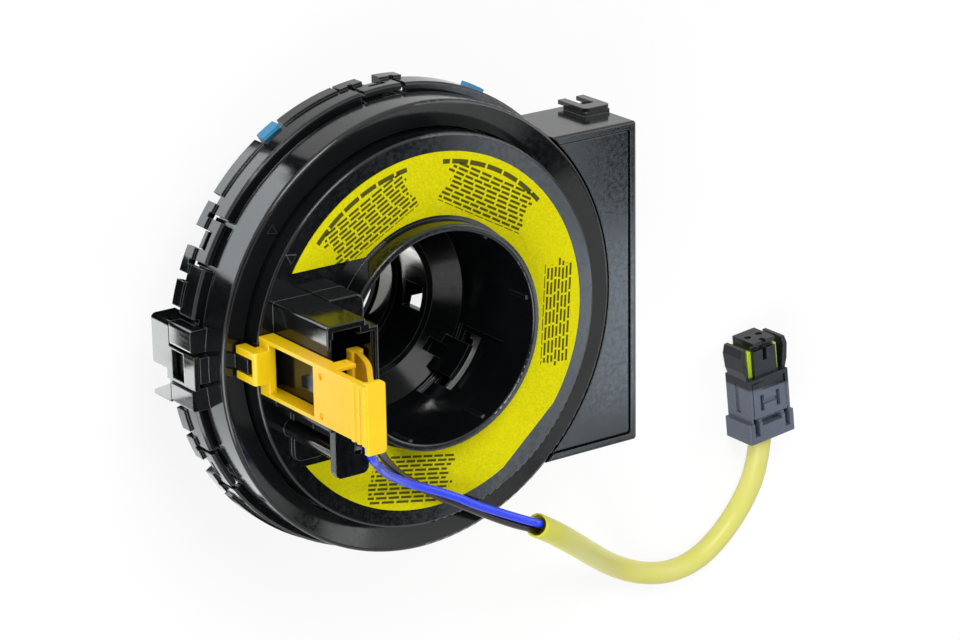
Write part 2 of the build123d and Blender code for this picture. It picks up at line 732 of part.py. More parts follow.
def plugBody():
    """Plug shell along local X: slotted rear collar, covered middle, open nose."""
    half = plugWide / 2
    collar = block(0, plugCollar, -half - 1, half + 1, 0, plugHigh + 0.4)
    collar = fillet(collar.edges().filter_by(Axis.X).group_by(Axis.Z)[-1], 0.8)
    middle = block(plugCollar - 0.5, plugMiddle, -half, half, 0, plugHigh)
    nose = block(plugMiddle - 0.1, plugLong, -plugCore, plugCore, 0.6, 8.8)
    body = collar + middle + nose + plugArms()
    well = block(plugCollar + 0.7, plugMiddle - 1.0, 0.9 - half, half - 0.9, plugHigh - 1.2, plugHigh + 1)
    slots = [
        block(1.8, plugCollar + 1.2, y - 0.8, y + 0.8, 6.0, plugHigh + 1) for y in (1.4 - half, half - 1.4)
    ]
    cross = block(plugCollar - 1.2, plugCollar + 0.5, -3.2, 3.2, 7.6, plugHigh + 1)
    noseSlots = [
        block(plugLong - 5.5, plugLong + 1, -0.7, 0.7, 7.2, 10),
        block(plugLong - 2.4, plugLong - 1.0, -4, 4, 7.6, 10),
    ]
    noseHoles = [
        Pos(plugMiddle + 1.5, y, plugPinHigh) * Rot(0, 90, 0) * extrude(Circle(0.95), plugLong)
        for y in (-1.8, 1.8)
    ]
    rear = Pos(-1, 0, sheathPath[-1][2]) * Rot(0, 90, 0) * extrude(Circle(sheathD / 2 + seatGap), 3.0)
    side = block(plugCollar + 2, plugMiddle - 2, half - 0.5, half + 1, 3.6, 5.2)
    return body - well - slots - cross - noseSlots - noseHoles - rear - side


def plugArms():
    """Two side spring arms with rounded, stepped ends beside the nose."""
    outline = [
        (-4.0, 6.0), (0, 6.4), (2.4, 7.2), (6.4, 7.6), (8.6, 6.9),
        (8.6, 5.8), (6.0, 6.4), (2.6, 5.9), (-4.0, 4.8),
    ]
    arms = []
    for side in (-1, 1):
        face = make_face(Polyline(*[(plugMiddle + x, side * y) for x, y in outline], close=True))
        arms.append(Pos(0, 0, 1.2) * extrude(face, plugHigh - 2.2))
    return arms


def plugLock():
    """Snap cover in the plug's middle, with its H-shaped window."""
    low = plugCollar + 0.9
    high = plugMiddle - 1.2
    half = plugWide / 2 - 1.1
    plate = block(low, high, -half, half, plugHigh - 1.2, plugHigh + 0.1)
    slots = [block(low + 1.8, low + 6.2, y - 0.6, y + 0.6, plugHigh - 2, plugHigh + 1) for y in (-2.6, 2.6)]
    bar = block(low + 3.5, low + 4.6, -2.6, 2.6, plugHigh - 0.4, plugHigh + 1)
    step = block(high - 2.2, high + 1, -half - 1, 2.2, plugHigh - 0.5, plugHigh + 1)
    return plate - slots - bar - step


def plugInsert():
    """Coloured insert that wraps the nose core and shows beside it."""
    wrap = block(plugMiddle, plugLong - 2.5, -4.8, 4.8, 0.0, 7.6)
    return wrap - block(plugMiddle - 1, plugLong, -plugCore, plugCore, 0.6, 9)


def plugTerminals():
    pin = extrude(Circle(0.75), 7.5) - extrude(Circle(0.4), 8)
    pins = [Pos(plugMiddle + 1.5, y, plugPinHigh) * Rot(0, 90, 0) * pin for y in (-1.8, 1.8)]
    return Compound(children=pins)


def write(name, shape):
    export_step(shape, "parts/" + name + ".step")
    print(name, "volume", round(shape.volume, 1), "solids", len(shape.solids()))


os.makedirs("parts", exist_ok=True)
write("front_cover", frontCover())
write("rear_housing", rearHousing())
write("box_cover", boxCover())
write("stator_lead_block", statorLeadBlock())
write("column_terminals", columnTerminals())
write("blue_locking_tabs", blueLockingTabs())
write("damper_sheet", damperSheet())
write("ribbon_cable", ribbonCable())
write("rotor_housing", rotorHousing())
write("front_label", frontLabel())
write("socket_terminals", socketTerminals())
write("rotor_lead_block", rotorLeadBlock())
write("lower_hub", lowerHub())
write("lock_clip", lockClip())
write("blue_wire", cord("blue_wire", bluePath, wireD)[0])
write("black_wire", cord("black_wire", blackPath, wireD)[0])
write("lead_sheath", leadSheath())
write("plug_body", plugPlace() * plugBody())
write("plug_lock", plugPlace() * plugLock())
write("plug_insert", plugPlace() * plugInsert())
write("plug_terminals", plugPlace() * plugTerminals())
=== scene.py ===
import math

import bpy
import numpy as np
from mathutils import Matrix


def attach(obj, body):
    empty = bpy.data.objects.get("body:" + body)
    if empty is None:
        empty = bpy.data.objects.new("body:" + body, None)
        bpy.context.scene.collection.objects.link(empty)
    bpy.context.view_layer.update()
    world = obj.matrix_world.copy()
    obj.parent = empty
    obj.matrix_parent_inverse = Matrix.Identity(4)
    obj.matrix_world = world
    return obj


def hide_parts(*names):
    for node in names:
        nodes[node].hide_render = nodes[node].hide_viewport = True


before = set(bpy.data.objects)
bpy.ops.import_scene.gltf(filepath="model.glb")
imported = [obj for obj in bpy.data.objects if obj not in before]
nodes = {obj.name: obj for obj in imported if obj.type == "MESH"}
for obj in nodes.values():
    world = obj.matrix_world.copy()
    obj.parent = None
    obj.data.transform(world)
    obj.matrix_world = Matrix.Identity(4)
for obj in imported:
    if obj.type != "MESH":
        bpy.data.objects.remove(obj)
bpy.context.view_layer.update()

mm = 0.001
edgeSpan = (0.004, 0.09)  # an edge is painted pale, as rub wear and as a painted highlight, from here to here, in one minus the cosine of its turn
glossSpan = (0.3, 0.7)  # where in a noise's range the gloss goes from its smooth end to its rough one


class Value:
    # one socket of a node tree; an expression on values adds its Math nodes
    def __init__(self, tree, socket):
        self.tree, self.socket = tree, socket

    def combine(self, operation, first, second):
        return self.tree.node("Math", {"operation": operation}, first, second)

    def __add__(self, other):
        return self.combine("ADD", self, other)

    def __sub__(self, other):
        return self.combine("SUBTRACT", self, other)

    def __rsub__(self, other):
        return self.combine("SUBTRACT", other, self)

    def __mul__(self, other):
        return self.combine("MULTIPLY", self, other)

    def __truediv__(self, other):
        return self.combine("DIVIDE", self, other)

    def __rtruediv__(self, other):
        return self.combine("DIVIDE", other, self)

    def __pow__(self, other):
        return self.combine("POWER", self, other)

    def __rpow__(self, other):
        return self.combine("POWER", other, self)

    def __gt__(self, other):
        return self.combine("GREATER_THAN", self, other)

    def __lt__(self, other):
        return self.combine("LESS_THAN", self, other)

    __radd__, __rmul__ = __add__, __mul__


class Tree:
    # a node tree; every node comes from add(), which sets its settings first and then its sockets
    def __init__(self, nodeTree):
        self.nodeTree = nodeTree

    def plug(self, socket, value):
        if isinstance(value, Value):
            self.nodeTree.links.new(value.socket, socket)
        elif isinstance(value, tuple) and len(value) == 3 and socket.type == "RGBA":
            socket.default_value = (*value, 1.0)
        else:
            socket.default_value = value

    def add(self, kind, settings=None, *inputs, **named):
        made = self.nodeTree.nodes.new("ShaderNode" + kind)
        for key, value in (settings or {}).items():
            setattr(made, key, value)
        for socket, value in zip([s for s in made.inputs if s.enabled], inputs):
            self.plug(socket, value)
        for key, value in named.items():
            self.plug(made.inputs[key.replace("_", " ")], value)
        return made

    def node(self, kind, settings=None, *inputs, pick=None, **named):
        # a node's output: the one named by pick, or the first in use
        outputs = self.add(kind, settings, *inputs, **named).outputs
        return Value(self, outputs[pick] if pick else next(s for s in outputs if s.enabled))


class Paint(Tree):
    # one material
    def __init__(self, name):
        self.material = bpy.data.materials.new(name)
        self.material.use_nodes = True
        super().__init__(self.material.node_tree)
        self.nodeTree.nodes.clear()

    def show(self, surface):
        self.add("OutputMaterial", Surface=surface)
        return self.material

    def principled(self, **values):
        return self.show(self.node("BsdfPrincipled", **values))

    def place(self, stretch=(1, 1, 1)):
        # Object coordinates in millimetres
        coords = self.node("TexCoord", pick="Object")
        return self.node("Mapping", None, coords, (0, 0, 0), (0, 0, 0), tuple(s / mm for s in stretch))

    def noise(self, perMm, detail=3.0, rough=0.55, stretch=(1, 1, 1)):
        # perMm counts its waves along a millimetre, and stretch scales that on each axis
        return self.node("TexNoise", Vector=self.place(stretch), Scale=perMm, Detail=detail, Roughness=rough)

    def spot(self, axis):
        return self.node("SeparateXYZ", None, self.place(), pick=axis)

    def floor(self, value):
        return self.node("Math", {"operation": "FLOOR"}, value)

    def ramp(self, value, low, high, bottom=0.0, top=1.0):
        return self.node("MapRange", {"clamp": True}, value, low, high, bottom, top)

    def inside(self, value, low, high, blur):
        # 1 between low and high, with ends that fade over blur
        return self.ramp(value, low - blur, low) * (1.0 - self.ramp(value, high, high + blur))

    def blendColour(self, factor, first, second):
        return self.node("Mix", {"data_type": "RGBA"}, factor, first, second)

    def edges(self, radius):
        # 1 along an outer edge, from the angle between the true normal and one rounded over radius
        rounded = self.node("Bevel", {"samples": 4}, radius * mm)
        flat = self.node("NewGeometry", pick="Normal")
        same = self.node("VectorMath", {"operation": "DOT_PRODUCT"}, rounded, flat, pick="Value")
        return rounded, self.ramp(1.0 - same, *edgeSpan)

    def gloss(self, pattern, rough):
        # roughness between the two ends of rough, by the pattern
        return self.ramp(pattern, *glossSpan, *rough)

    def bump(self, height, strength, distance, **named):
        return self.node("Bump", Strength=strength, Distance=distance * mm, Height=height, **named)


# tint is the plain colour, pale the specked one; grain counts specks along a millimetre
mouldedPlastic = {
    "stator": dict(
        tint=(0.0025, 0.0030, 0.0034), pale=(0.011, 0.0125, 0.014), rough=(0.08, 0.17), shine=0.5,
        grain=5.5, bump=0.05, edge=0.30),
    "rotor": dict(
        tint=(0.0025, 0.0030, 0.0034), pale=(0.010, 0.0115, 0.013), rough=(0.07, 0.16), shine=0.5,
        grain=7.0, bump=0.04, edge=0.28),
    "hub": dict(
        tint=(0.0022, 0.0026, 0.0030), pale=(0.006, 0.007, 0.008), rough=(0.10, 0.19), shine=0.10,
        grain=6.0, bump=0.05, edge=0.28),
    "plug": dict(
        tint=(0.072, 0.084, 0.115), pale=(0.13, 0.145, 0.185), rough=(0.24, 0.33), shine=0.20,
        grain=6.0, bump=0.12, edge=0.22),
    "carrier": dict(
        tint=(0.06, 0.06, 0.065), pale=(0.12, 0.12, 0.125), rough=(0.46, 0.55), shine=0.4,
        grain=5.0, bump=0.2, edge=0.25),
}
# specks and clouds take their share of the pale colour where their noise is within their span
mouldedWearAndSheen = dict(
    # the edge colour and its share paint rounded edges pale: rub wear and a painted highlight
    wornAndLitEdge=(0.095, 0.10, 0.105), rubAndSheen=0.5,
    grain=dict(detail=4.0, rough=0.7), grainDepth=0.02, speckSpan=(0.52, 0.74), speckShare=0.75,
    clouds=dict(perMm=0.06), cloudSpan=(0.35, 0.7), cloudShare=0.35,
    streaks=dict(perMm=0.9, detail=2.0, rough=0.6, stretch=(1, 1, 0.15)),
)
# painted shade: the plug's nose, from this Y in millimetres on, is painted near black for the shade in its
# recess
plugNoseShade = dict(tint=(0.004, 0.0045, 0.005), low=-52.7, high=-51.9, share=0.94)


def mouldedMaterial(name):
    # fine eroded grain, slow gloss changes, and rounded edges painted pale as rub wear and as a painted
    # highlight
    look, wearAndSheen = mouldedPlastic[name], mouldedWearAndSheen
    paint = Paint("moulded_" + name)
    grain = paint.noise(look["grain"], **wearAndSheen["grain"])
    clouds, streaks = paint.noise(**wearAndSheen["clouds"]), paint.noise(**wearAndSheen["streaks"])
    rounded, wornAndLitEdge = paint.edges(look["edge"])
    speck = paint.ramp(grain, *wearAndSheen["speckSpan"]) * wearAndSheen["speckShare"]
    cloud = paint.ramp(clouds, *wearAndSheen["cloudSpan"]) * wearAndSheen["cloudShare"]
    body = paint.blendColour(speck, look["tint"], look["pale"])
    body = paint.blendColour(cloud, body, look["pale"])
    if name == "plug":
        # painted shade: the nose is blended to near black for the shade in its recess
        noseShade = paint.ramp(paint.spot("Y"), plugNoseShade["low"], plugNoseShade["high"])
        body = paint.blendColour(noseShade * plugNoseShade["share"], body, plugNoseShade["tint"])
    # painted highlight: rounded edges lightened, partly rub wear and partly light catching the edge
    body = paint.blendColour(wornAndLitEdge * wearAndSheen["rubAndSheen"], body, wearAndSheen["wornAndLitEdge"])
    return paint.principled(
        Base_Color=body, Roughness=paint.gloss(streaks, look["rough"]), Specular_IOR_Level=look["shine"],
        Normal=paint.bump(grain, look["bump"], wearAndSheen["grainDepth"], Normal=rounded))


clearPlastic = {
    "clip": dict(
        tint=(0.82, 0.54, 0.002), deep=(0.72, 0.49, 0.002), pale=(0.90, 0.68, 0.05),
        rough=(0.25, 0.38), edge=0.3, milky=0.25),
    "insert": dict(
        tint=(0.50, 0.70, 0.01), deep=(0.36, 0.50, 0.01), pale=(0.66, 0.80, 0.1),
        rough=(0.30, 0.43), edge=0.2, milky=0.2),
    "tabs": dict(
        tint=(0.035, 0.26, 0.46), deep=(0.02, 0.18, 0.36), pale=(0.12, 0.40, 0.58),
        rough=(0.29, 0.42), edge=0.2, milky=0.15),
    "film": dict(
        tint=(0.62, 0.62, 0.56), deep=(0.5, 0.5, 0.44), pale=(0.75, 0.75, 0.7),
        rough=(0.20, 0.33), edge=0.1, milky=0.1),
}
# painted glow: the clip's thick plate is painted orange between its open rails and its grip, for light
# shining through it; low, high and fade are heights
clipPaintedGlow = dict(tint=(0.85, 0.48, 0.010), low=66.5, high=81.0, fade=6.0, share=0.9, sway=3.0)
clearFlow = dict(
    flow=dict(perMm=0.12, detail=3.0, rough=0.5, stretch=(1, 1, 0.3)), deepSpan=(0.3, 0.72),
    fine=dict(perMm=4.0, detail=3.0, rough=0.6), fineBump=0.12, fineDepth=0.03, rubAndSheen=0.6,
)
milk = dict(scale=2 * mm, radius=(1.0, 0.6, 0.2))


def clearMaterial(name):
    # dyed, slightly milky plastic: deeper inside, paler on thin edges as rub wear and a painted highlight,
    # with faint flow marks
    look, marks = clearPlastic[name], clearFlow
    paint = Paint("dyed_" + name)
    flow, fine = paint.noise(**marks["flow"]), paint.noise(**marks["fine"])
    rounded, wornAndLitEdge = paint.edges(look["edge"])
    body = paint.blendColour(paint.ramp(flow, *marks["deepSpan"]), look["tint"], look["deep"])
    if name == "clip":
        # painted glow: the thick plate is tinted orange for light shining through it
        height = paint.spot("Z") + flow * clipPaintedGlow["sway"]
        paintedGlow = paint.inside(height, clipPaintedGlow["low"], clipPaintedGlow["high"], clipPaintedGlow["fade"])
        body = paint.blendColour(paintedGlow * clipPaintedGlow["share"], body, clipPaintedGlow["tint"])
    # painted highlight: thin edges lightened, partly rub wear and partly light catching the edge
    body = paint.blendColour(wornAndLitEdge * marks["rubAndSheen"], body, look["pale"])
    return paint.principled(
        Base_Color=body, Roughness=paint.gloss(flow, look["rough"]), Subsurface_Weight=look["milky"],
        Subsurface_Radius=milk["radius"], Subsurface_Scale=milk["scale"],
        Normal=paint.bump(fine, marks["fineBump"], marks["fineDepth"], Normal=rounded))


tinnedCopper = dict(
    dull=(0.62, 0.60, 0.55), bright=(0.80, 0.79, 0.75), rough=(0.24, 0.4),
    brushed=dict(perMm=3.0, detail=3.0, rough=0.6, stretch=(1, 1, 0.1)), brightSpan=(0.35, 0.65),
)


def metalMaterial():
    # drawn strip: fine lines along the pins
    look = tinnedCopper
    paint = Paint("tinned_copper")
    brushed = paint.noise(**look["brushed"])
    body = paint.blendColour(paint.ramp(brushed, *look["brightSpan"]), look["dull"], look["bright"])
    return paint.principled(Base_Color=body, Metallic=1.0, Roughness=paint.gloss(brushed, look["rough"]))


labelPrint = dict(
    tint=(0.63, 0.59, 0.002), shade=(0.47, 0.44, 0.002), ink=(0.03, 0.03, 0.008), cover=0.92,
    rough=(0.5, 0.62), shine=0.04, bump=0.06, bumpDepth=0.03,
    mottle=dict(perMm=2.0, detail=4.0, rough=0.75), shadeSpan=(0.36, 0.64),
    broad=dict(perMm=0.05, detail=2.0), freshSpan=(0.4, 0.65), freshShare=0.3,
    pitch=1.05, bar=0.46, blur=0.1,  # rows of bars, in millimetres and shares of a row
    word=2.6, wordSpread=1.6, wordShift=9.0, gap=0.16, ragStart=2.0, ragEnd=5.0,
    # direction of a block from the axis, half its width, nearest and farthest row
    blocks=[
        (118, 12.5, 27.9, 37.6), (61, 13.0, 27.9, 37.6), (-4, 13.0, 31.0, 39.0), (-101, 12.0, 28.4, 39.8)],
    headings=[(98, 138), (40, 84)], headingRing=(38.7, 39.7), dash=7.3, dashGap=0.12,
)


def printedBars(paint):
    # rows of plain bars in blocks square to a radius, and a thicker dashed arc over two of them
    look = labelPrint
    x, y = paint.spot("X"), paint.spot("Y")
    marks = 0.0
    for turn, half, nearest, farthest in look["blocks"]:
        c, s = math.cos(math.radians(turn)), math.sin(math.radians(turn))
        out, along = x * c + y * s, y * c - x * s
        row = paint.floor(out / look["pitch"])
        chance = paint.node("TexWhiteNoise", {"noise_dimensions": "1D"}, W=row)
        step = out / look["pitch"] - row
        inRow = paint.inside(step, 0.5 - look["bar"] / 2, 0.5 + look["bar"] / 2, look["blur"])
        place = along / (chance * look["wordSpread"] + look["word"]) + chance * look["wordShift"]
        inWord = (place - paint.floor(place)) > look["gap"]
        span = (along > chance * look["ragStart"] - half) * (along < half - chance * chance * look["ragEnd"])
        marks = inRow * inWord * span * (out > nearest) * (out < farthest) + marks
    radius = (x * x + y * y) ** 0.5
    angle = paint.node("Math", {"operation": "ARCTAN2"}, y, x) * (180 / math.pi)
    place = angle / look["dash"]
    inDash = (place - paint.floor(place)) > look["dashGap"]
    low, high = look["headingRing"]
    for first, last in look["headings"]:
        arc = (angle > first) * (angle < last)
        marks = paint.inside(radius, low, high, look["blur"]) * inDash * arc + marks
    return marks


def labelMaterial():
    # matt printed film: mottled ink coverage and blocks of plain bars
    look = labelPrint
    paint = Paint("label_film")
    mottle, broad = paint.noise(**look["mottle"]), paint.noise(**look["broad"])
    fresh = paint.ramp(broad, *look["freshSpan"]) * look["freshShare"]
    body = paint.blendColour(paint.ramp(mottle, *look["shadeSpan"]), look["tint"], look["shade"])
    body = paint.blendColour(fresh, body, look["tint"])
    body = paint.blendColour(printedBars(paint) * look["cover"], body, look["ink"])
    return paint.principled(
        Base_Color=body, Roughness=paint.gloss(mottle, look["rough"]), Specular_IOR_Level=look["shine"],
        Normal=paint.bump(mottle, look["bump"], look["bumpDepth"]))


# fade: first and last X in millimetres, and how deep the colour is at each
cordFinish = {
    "blue": dict(
        tint=(0.006, 0.045, 0.82), deep=(0.003, 0.026, 0.60), rough=(0.17, 0.29),
        line=0.05, shine=0.5, milky=0.0),
    "black": dict(
        tint=(0.020, 0.013, 0.011), deep=(0.010, 0.007, 0.006), rough=(0.21, 0.33),
        line=0.05, shine=0.5, milky=0.0),
    "sheath": dict(
        tint=(0.60, 0.58, 0.20), deep=(0.56, 0.55, 0.015), rough=(0.29, 0.41),
        line=0.10, shine=0.3, milky=0.12, fade=(25.0, 95.0, 1.0, 0.15)),
}
# lines are noise steps in one turn round the cord, and in each metre along it
vinyl = dict(
    lines=(900, 2.5, 1), lineDetail=2.0, lineDepth=0.05,
    drift=dict(perMm=0.09, detail=2.0), driftSpan=(0.3, 0.7), driftShare=0.3, fadeShare=0.8, evenFade=0.5,
)
cordMap = "cordMap"


def cordMaterial(name):
    # extruded vinyl: faint lines along the cord from its own map, slow colour drift
    look = cordFinish[name]
    paint = Paint("vinyl_" + name)
    along = paint.node("UVMap", {"uv_map": cordMap})
    drawn = paint.node("Mapping", None, along, (0, 0, 0), (0, 0, 0), vinyl["lines"])
    lines = paint.node("TexNoise", Vector=drawn, Scale=1.0, Detail=vinyl["lineDetail"])
    fade = paint.ramp(paint.spot("X"), *look["fade"]) if "fade" in look else vinyl["evenFade"]
    drift = paint.ramp(paint.noise(**vinyl["drift"]), *vinyl["driftSpan"])
    deep = drift * vinyl["driftShare"] + fade * vinyl["fadeShare"]
    return paint.principled(
        Base_Color=paint.blendColour(deep, look["tint"], look["deep"]),
        Roughness=paint.gloss(lines, look["rough"]), Specular_IOR_Level=look["shine"],
        Subsurface_Weight=look["milky"], Subsurface_Scale=milk["scale"],
        Normal=paint.bump(lines, look["line"], vinyl["lineDepth"]))


finishes = {
    "front_cover": mouldedMaterial("stator"), "rotor_housing": mouldedMaterial("rotor"),
    "plug_body": mouldedMaterial("plug"), "lower_hub": mouldedMaterial("hub"),
    "stator_lead_block": mouldedMaterial("carrier"), "lock_clip": clearMaterial("clip"),
    "plug_insert": clearMaterial("insert"), "blue_locking_tabs": clearMaterial("tabs"),
    "ribbon_cable": clearMaterial("film"), "column_terminals": metalMaterial(),
    "front_label": labelMaterial(),
}
sameAs = {
    "rear_housing": "front_cover", "box_cover": "front_cover", "plug_lock": "plug_body",
    "rotor_lead_block": "stator_lead_block", "damper_sheet": "ribbon_cable",
    "socket_terminals": "column_terminals", "plug_terminals": "column_terminals",
}


def dressNode(name):
    materials = nodes[name].data.materials
    materials.clear()
    materials.append(finishes[sameAs.get(name, name)])


for nodeName in list(finishes) + list(sameAs):
    dressNode(nodeName)
print("nodes dressed")

# points of the lead's three runs, in millimetres, from where they leave the outlet or the sheath's mouth
cordRuns = {
    "blue": dict(node="blue_wire", width=2.0, around=28, farEnd="object", points=[
        (-32.6, -7.9, 70.3), (-32.9, -12.6, 70.2), (-30.5, -16.9, 69.0), (-25.6, -20.8, 63.0),
        (-20.3, -25.5, 58.2), (-14.8, -29.3, 54.0), (-9.4, -32.7, 51.3), (-3.4, -35.6, 50.5),
        (3.2, -38.9, 50.4), (9.4, -42.7, 50.2), (16.2, -46.3, 49.6), (22.6, -49.6, 49.4),
        (28.4, -52.4, 49.2)]),
    "black": dict(node="black_wire", width=2.0, around=28, farEnd="object", points=[
        (-30.1, -7.9, 70.0), (-29.7, -12.0, 69.4), (-27.4, -15.8, 66.6), (-23.4, -19.4, 61.8),
        (-19.2, -23.2, 57.0), (-14.6, -27.3, 52.4), (-10.0, -31.4, 49.2), (-5.0, -35.1, 48.3),
        (0.4, -39.0, 48.2), (6.2, -42.3, 48.3), (12.6, -46.1, 48.2), (19.2, -49.9, 48.1),
        (24.6, -52.6, 47.7), (28.8, -54.5, 47.4)]),
    "sheath": dict(node="lead_sheath", width=5.8, around=36, farEnd="plug", points=[
        (27.7, -52.75, 48.6), (33.1, -56.1, 46.7), (46.5, -65.5, 36.2), (61.5, -76.2, 22.2),
        (74.2, -85.3, 10.8), (84.0, -92.1, 4.4), (93.2, -96.9, 3.0), (102.5, -99.1, 3.0),
        (111.7, -98.0, 3.0), (119.6, -93.3, 3.0), (126.9, -85.6, 3.2), (131.0, -75.6, 4.4),
        (131.5, -65.7, 4.8)]),
}
sheathMouth = dict(wall=0.55 * mm, depth=7 * mm, lipRings=5, bulge=0.4, ringStep=1.5 * mm)
cordTip = dict(reach=1e-5, radius=1e-6)  # how an end closes to a point, in metres


def cordLine(points):
    # centreline of the NURBS curve through a run's points, read from a curve with no bevel
    curve = bpy.data.curves.new("line", "CURVE")
    curve.dimensions = "3D"
    curve.resolution_u = 10
    spline = curve.splines.new("NURBS")
    spline.points.add(len(points) - 1)
    spline.points.foreach_set("co", np.insert(np.array(points) * mm, 3, 1.0, axis=1).ravel())
    spline.order_u = 3
    spline.use_endpoint_u = True
    shape = bpy.data.objects.new("line", curve)
    mesh = bpy.data.meshes.new_from_object(shape)
    line = np.empty(len(mesh.vertices) * 3)
    mesh.vertices.foreach_get("co", line)
    bpy.data.objects.remove(shape)
    return line.reshape(-1, 3)


def cordFrames(line):
    # tangents, and two normals that turn as little as they can along the line
    tangent = np.gradient(line, axis=0)
    tangent /= np.linalg.norm(tangent, axis=1)[:, None]
    across = np.cross(tangent[0], (0, 0, 1.0))
    sides = []
    for t in tangent:
        across = across - t * (across @ t)
        across /= np.linalg.norm(across)
        sides.append(across)
    side = np.array(sides)
    return tangent, side, np.cross(side, tangent)


def lineLengths(line):
    # distance walked along the line at each of its points
    return np.concatenate([[0.0], np.cumsum(np.linalg.norm(np.diff(line, axis=0), axis=1))])


def tubeRings(centres, side, up, radii, around):
    # centre + radius * (side * cos + up * sin) over one turn, for every centre
    angle = np.linspace(0, 2 * np.pi, around, endpoint=False)[None, :, None]
    circle = side[:, None, :] * np.cos(angle) + up[:, None, :] * np.sin(angle)
    return centres[:, None, :] + circle * radii[:, None, None]


def gridMesh(name, rings, closed=True):
    # quads over a grid of rings; the last point of each ring joins its first if closed
    count, around = rings.shape[:2]
    row = np.arange(count - 1)[:, None] * around
    col = np.arange(around if closed else around - 1)[None, :]
    after = (col + 1) % around
    faces = np.stack([row + col, row + after, row + around + after, row + around + col], axis=-1)
    mesh = bpy.data.meshes.new(name)
    mesh.from_pydata(rings.reshape(-1, 3).tolist(), [], faces.reshape(-1, 4).tolist())
    mesh.shade_smooth()
    mesh.update()
    return mesh


def mapAlong(mesh, around, lengths):
    # U is the share of a turn round the cord, V the length walked at each ring
    turn = np.broadcast_to(np.arange(around) / around, (len(lengths) - 1, around))
    nextTurn = turn + 1.0 / around
    low = np.broadcast_to(lengths[:-1, None], turn.shape)
    high = np.broadcast_to(lengths[1:, None], turn.shape)
    spots = np.stack([turn, low, nextTurn, low, nextTurn, high, turn, high], axis=-1)
    mesh.uv_layers.new(name=cordMap).data.foreach_set("uv", spots.reshape(-1).astype(np.float32))


def layCord(key, rings, lengths):
    run = cordRuns[key]
    name = run["node"] + "_run"
    mesh = gridMesh(name, rings)
    mapAlong(mesh, run["around"], lengths)
    mesh.materials.append(cordMaterial(key))
    shape = bpy.data.objects.new(name, mesh)
    bpy.context.scene.collection.objects.link(shape)
    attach(shape, "rotor")
    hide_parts(run["node"])


def wirePiece(key):
    # round insulation: one circle carried along the centreline, and a point just beyond each end
    run = cordRuns[key]
    line = cordLine(run["points"])
    tangent = cordFrames(line)[0]
    reach = cordTip["reach"]
    centres = np.concatenate([line[:1] - tangent[:1] * reach, line, line[-1:] + tangent[-1:] * reach])
    radii = np.full(len(centres), run["width"] / 2 * mm)
    radii[[0, -1]] = cordTip["radius"]
    rings = tubeRings(centres, *cordFrames(centres)[1:], radii, run["around"])
    layCord(key, rings, lineLengths(centres))


def sheathPiece(key):
    # sleeve with a real wall at its mouth: circles carried along a bore that ends on a floor, over half a
    # circle of lip, and along the outer skin to a point at the far end
    run = cordRuns[key]
    line = cordLine(run["points"])
    tangent, side, up = cordFrames(line)
    last = len(line) - 1
    radius, wall, lipRings = run["width"] / 2 * mm, sheathMouth["wall"], sheathMouth["lipRings"]
    bulge = wall * sheathMouth["bulge"]
    deep = np.searchsorted(lineLengths(line), sheathMouth["depth"])
    bore, lip, skin = np.arange(deep, 0, -1), np.zeros(lipRings, int), np.arange(1, last + 1)
    walk = np.concatenate([[deep], bore, lip, skin, [last]])
    bow = np.linspace(0, np.pi, lipRings)
    centres = line[walk]
    centres[1 + deep:1 + deep + lipRings] -= tangent[0] * np.sin(bow)[:, None] * bulge
    lipRadii = radius - wall / 2 - np.cos(bow) * wall / 2
    tip = [cordTip["radius"]]
    radii = np.concatenate([tip, np.full(deep, radius - wall), lipRadii, np.full(last, radius), tip])
    rings = tubeRings(centres, side[walk], up[walk], radii, run["around"])
    layCord(key, rings, np.arange(len(walk)) * sheathMouth["ringStep"])


wirePiece("blue")
wirePiece("black")
sheathPiece("sheath")
print("lead laid")

cameraSet = dict(
    spot=(-418.0, 254.7, 661.0), right=(0.81505, -0.01520, 0.57919), up=(0.19785, 0.94687, -0.25357),
    back=(-0.54456, 0.32126, 0.77475), sensor=36.0, focalWidths=3516.7 / 960,
)


def placeAt(shape, axes, spot):
    # axes are the object's own X, Y and Z, spot is in metres
    place = Matrix(np.array(axes).T.tolist()).to_4x4()
    place.translation = spot
    shape.matrix_world = place
    bpy.context.scene.collection.objects.link(shape)


def placeCamera():
    camera = bpy.data.cameras.new("camera")
    camera.sensor_width = cameraSet["sensor"]
    camera.lens = cameraSet["focalWidths"] * cameraSet["sensor"]
    camera.clip_start = 10 * mm
    shape = bpy.data.objects.new("camera", camera)
    axes = cameraSet["right"], cameraSet["up"], cameraSet["back"]
    placeAt(shape, axes, [c * mm for c in cameraSet["spot"]])
    bpy.context.scene.camera = shape


# the studio is in metres
lamps = {
    "key_lamp": dict(spot=(-0.25, 0.85, 0.95), size=(0.6, 0.6), power=11.5),
    "fill_lamp": dict(spot=(-0.9, -0.5, 0.7), size=(0.8, 0.8), power=10.0),
    "rim_lamp": dict(spot=(0.8, 0.3, 0.6), size=(0.6, 0.6), power=2.5),
}
lampsAim = (0.02, -0.02, 0.03)
dark = (0.0, 0.0, 0.0)
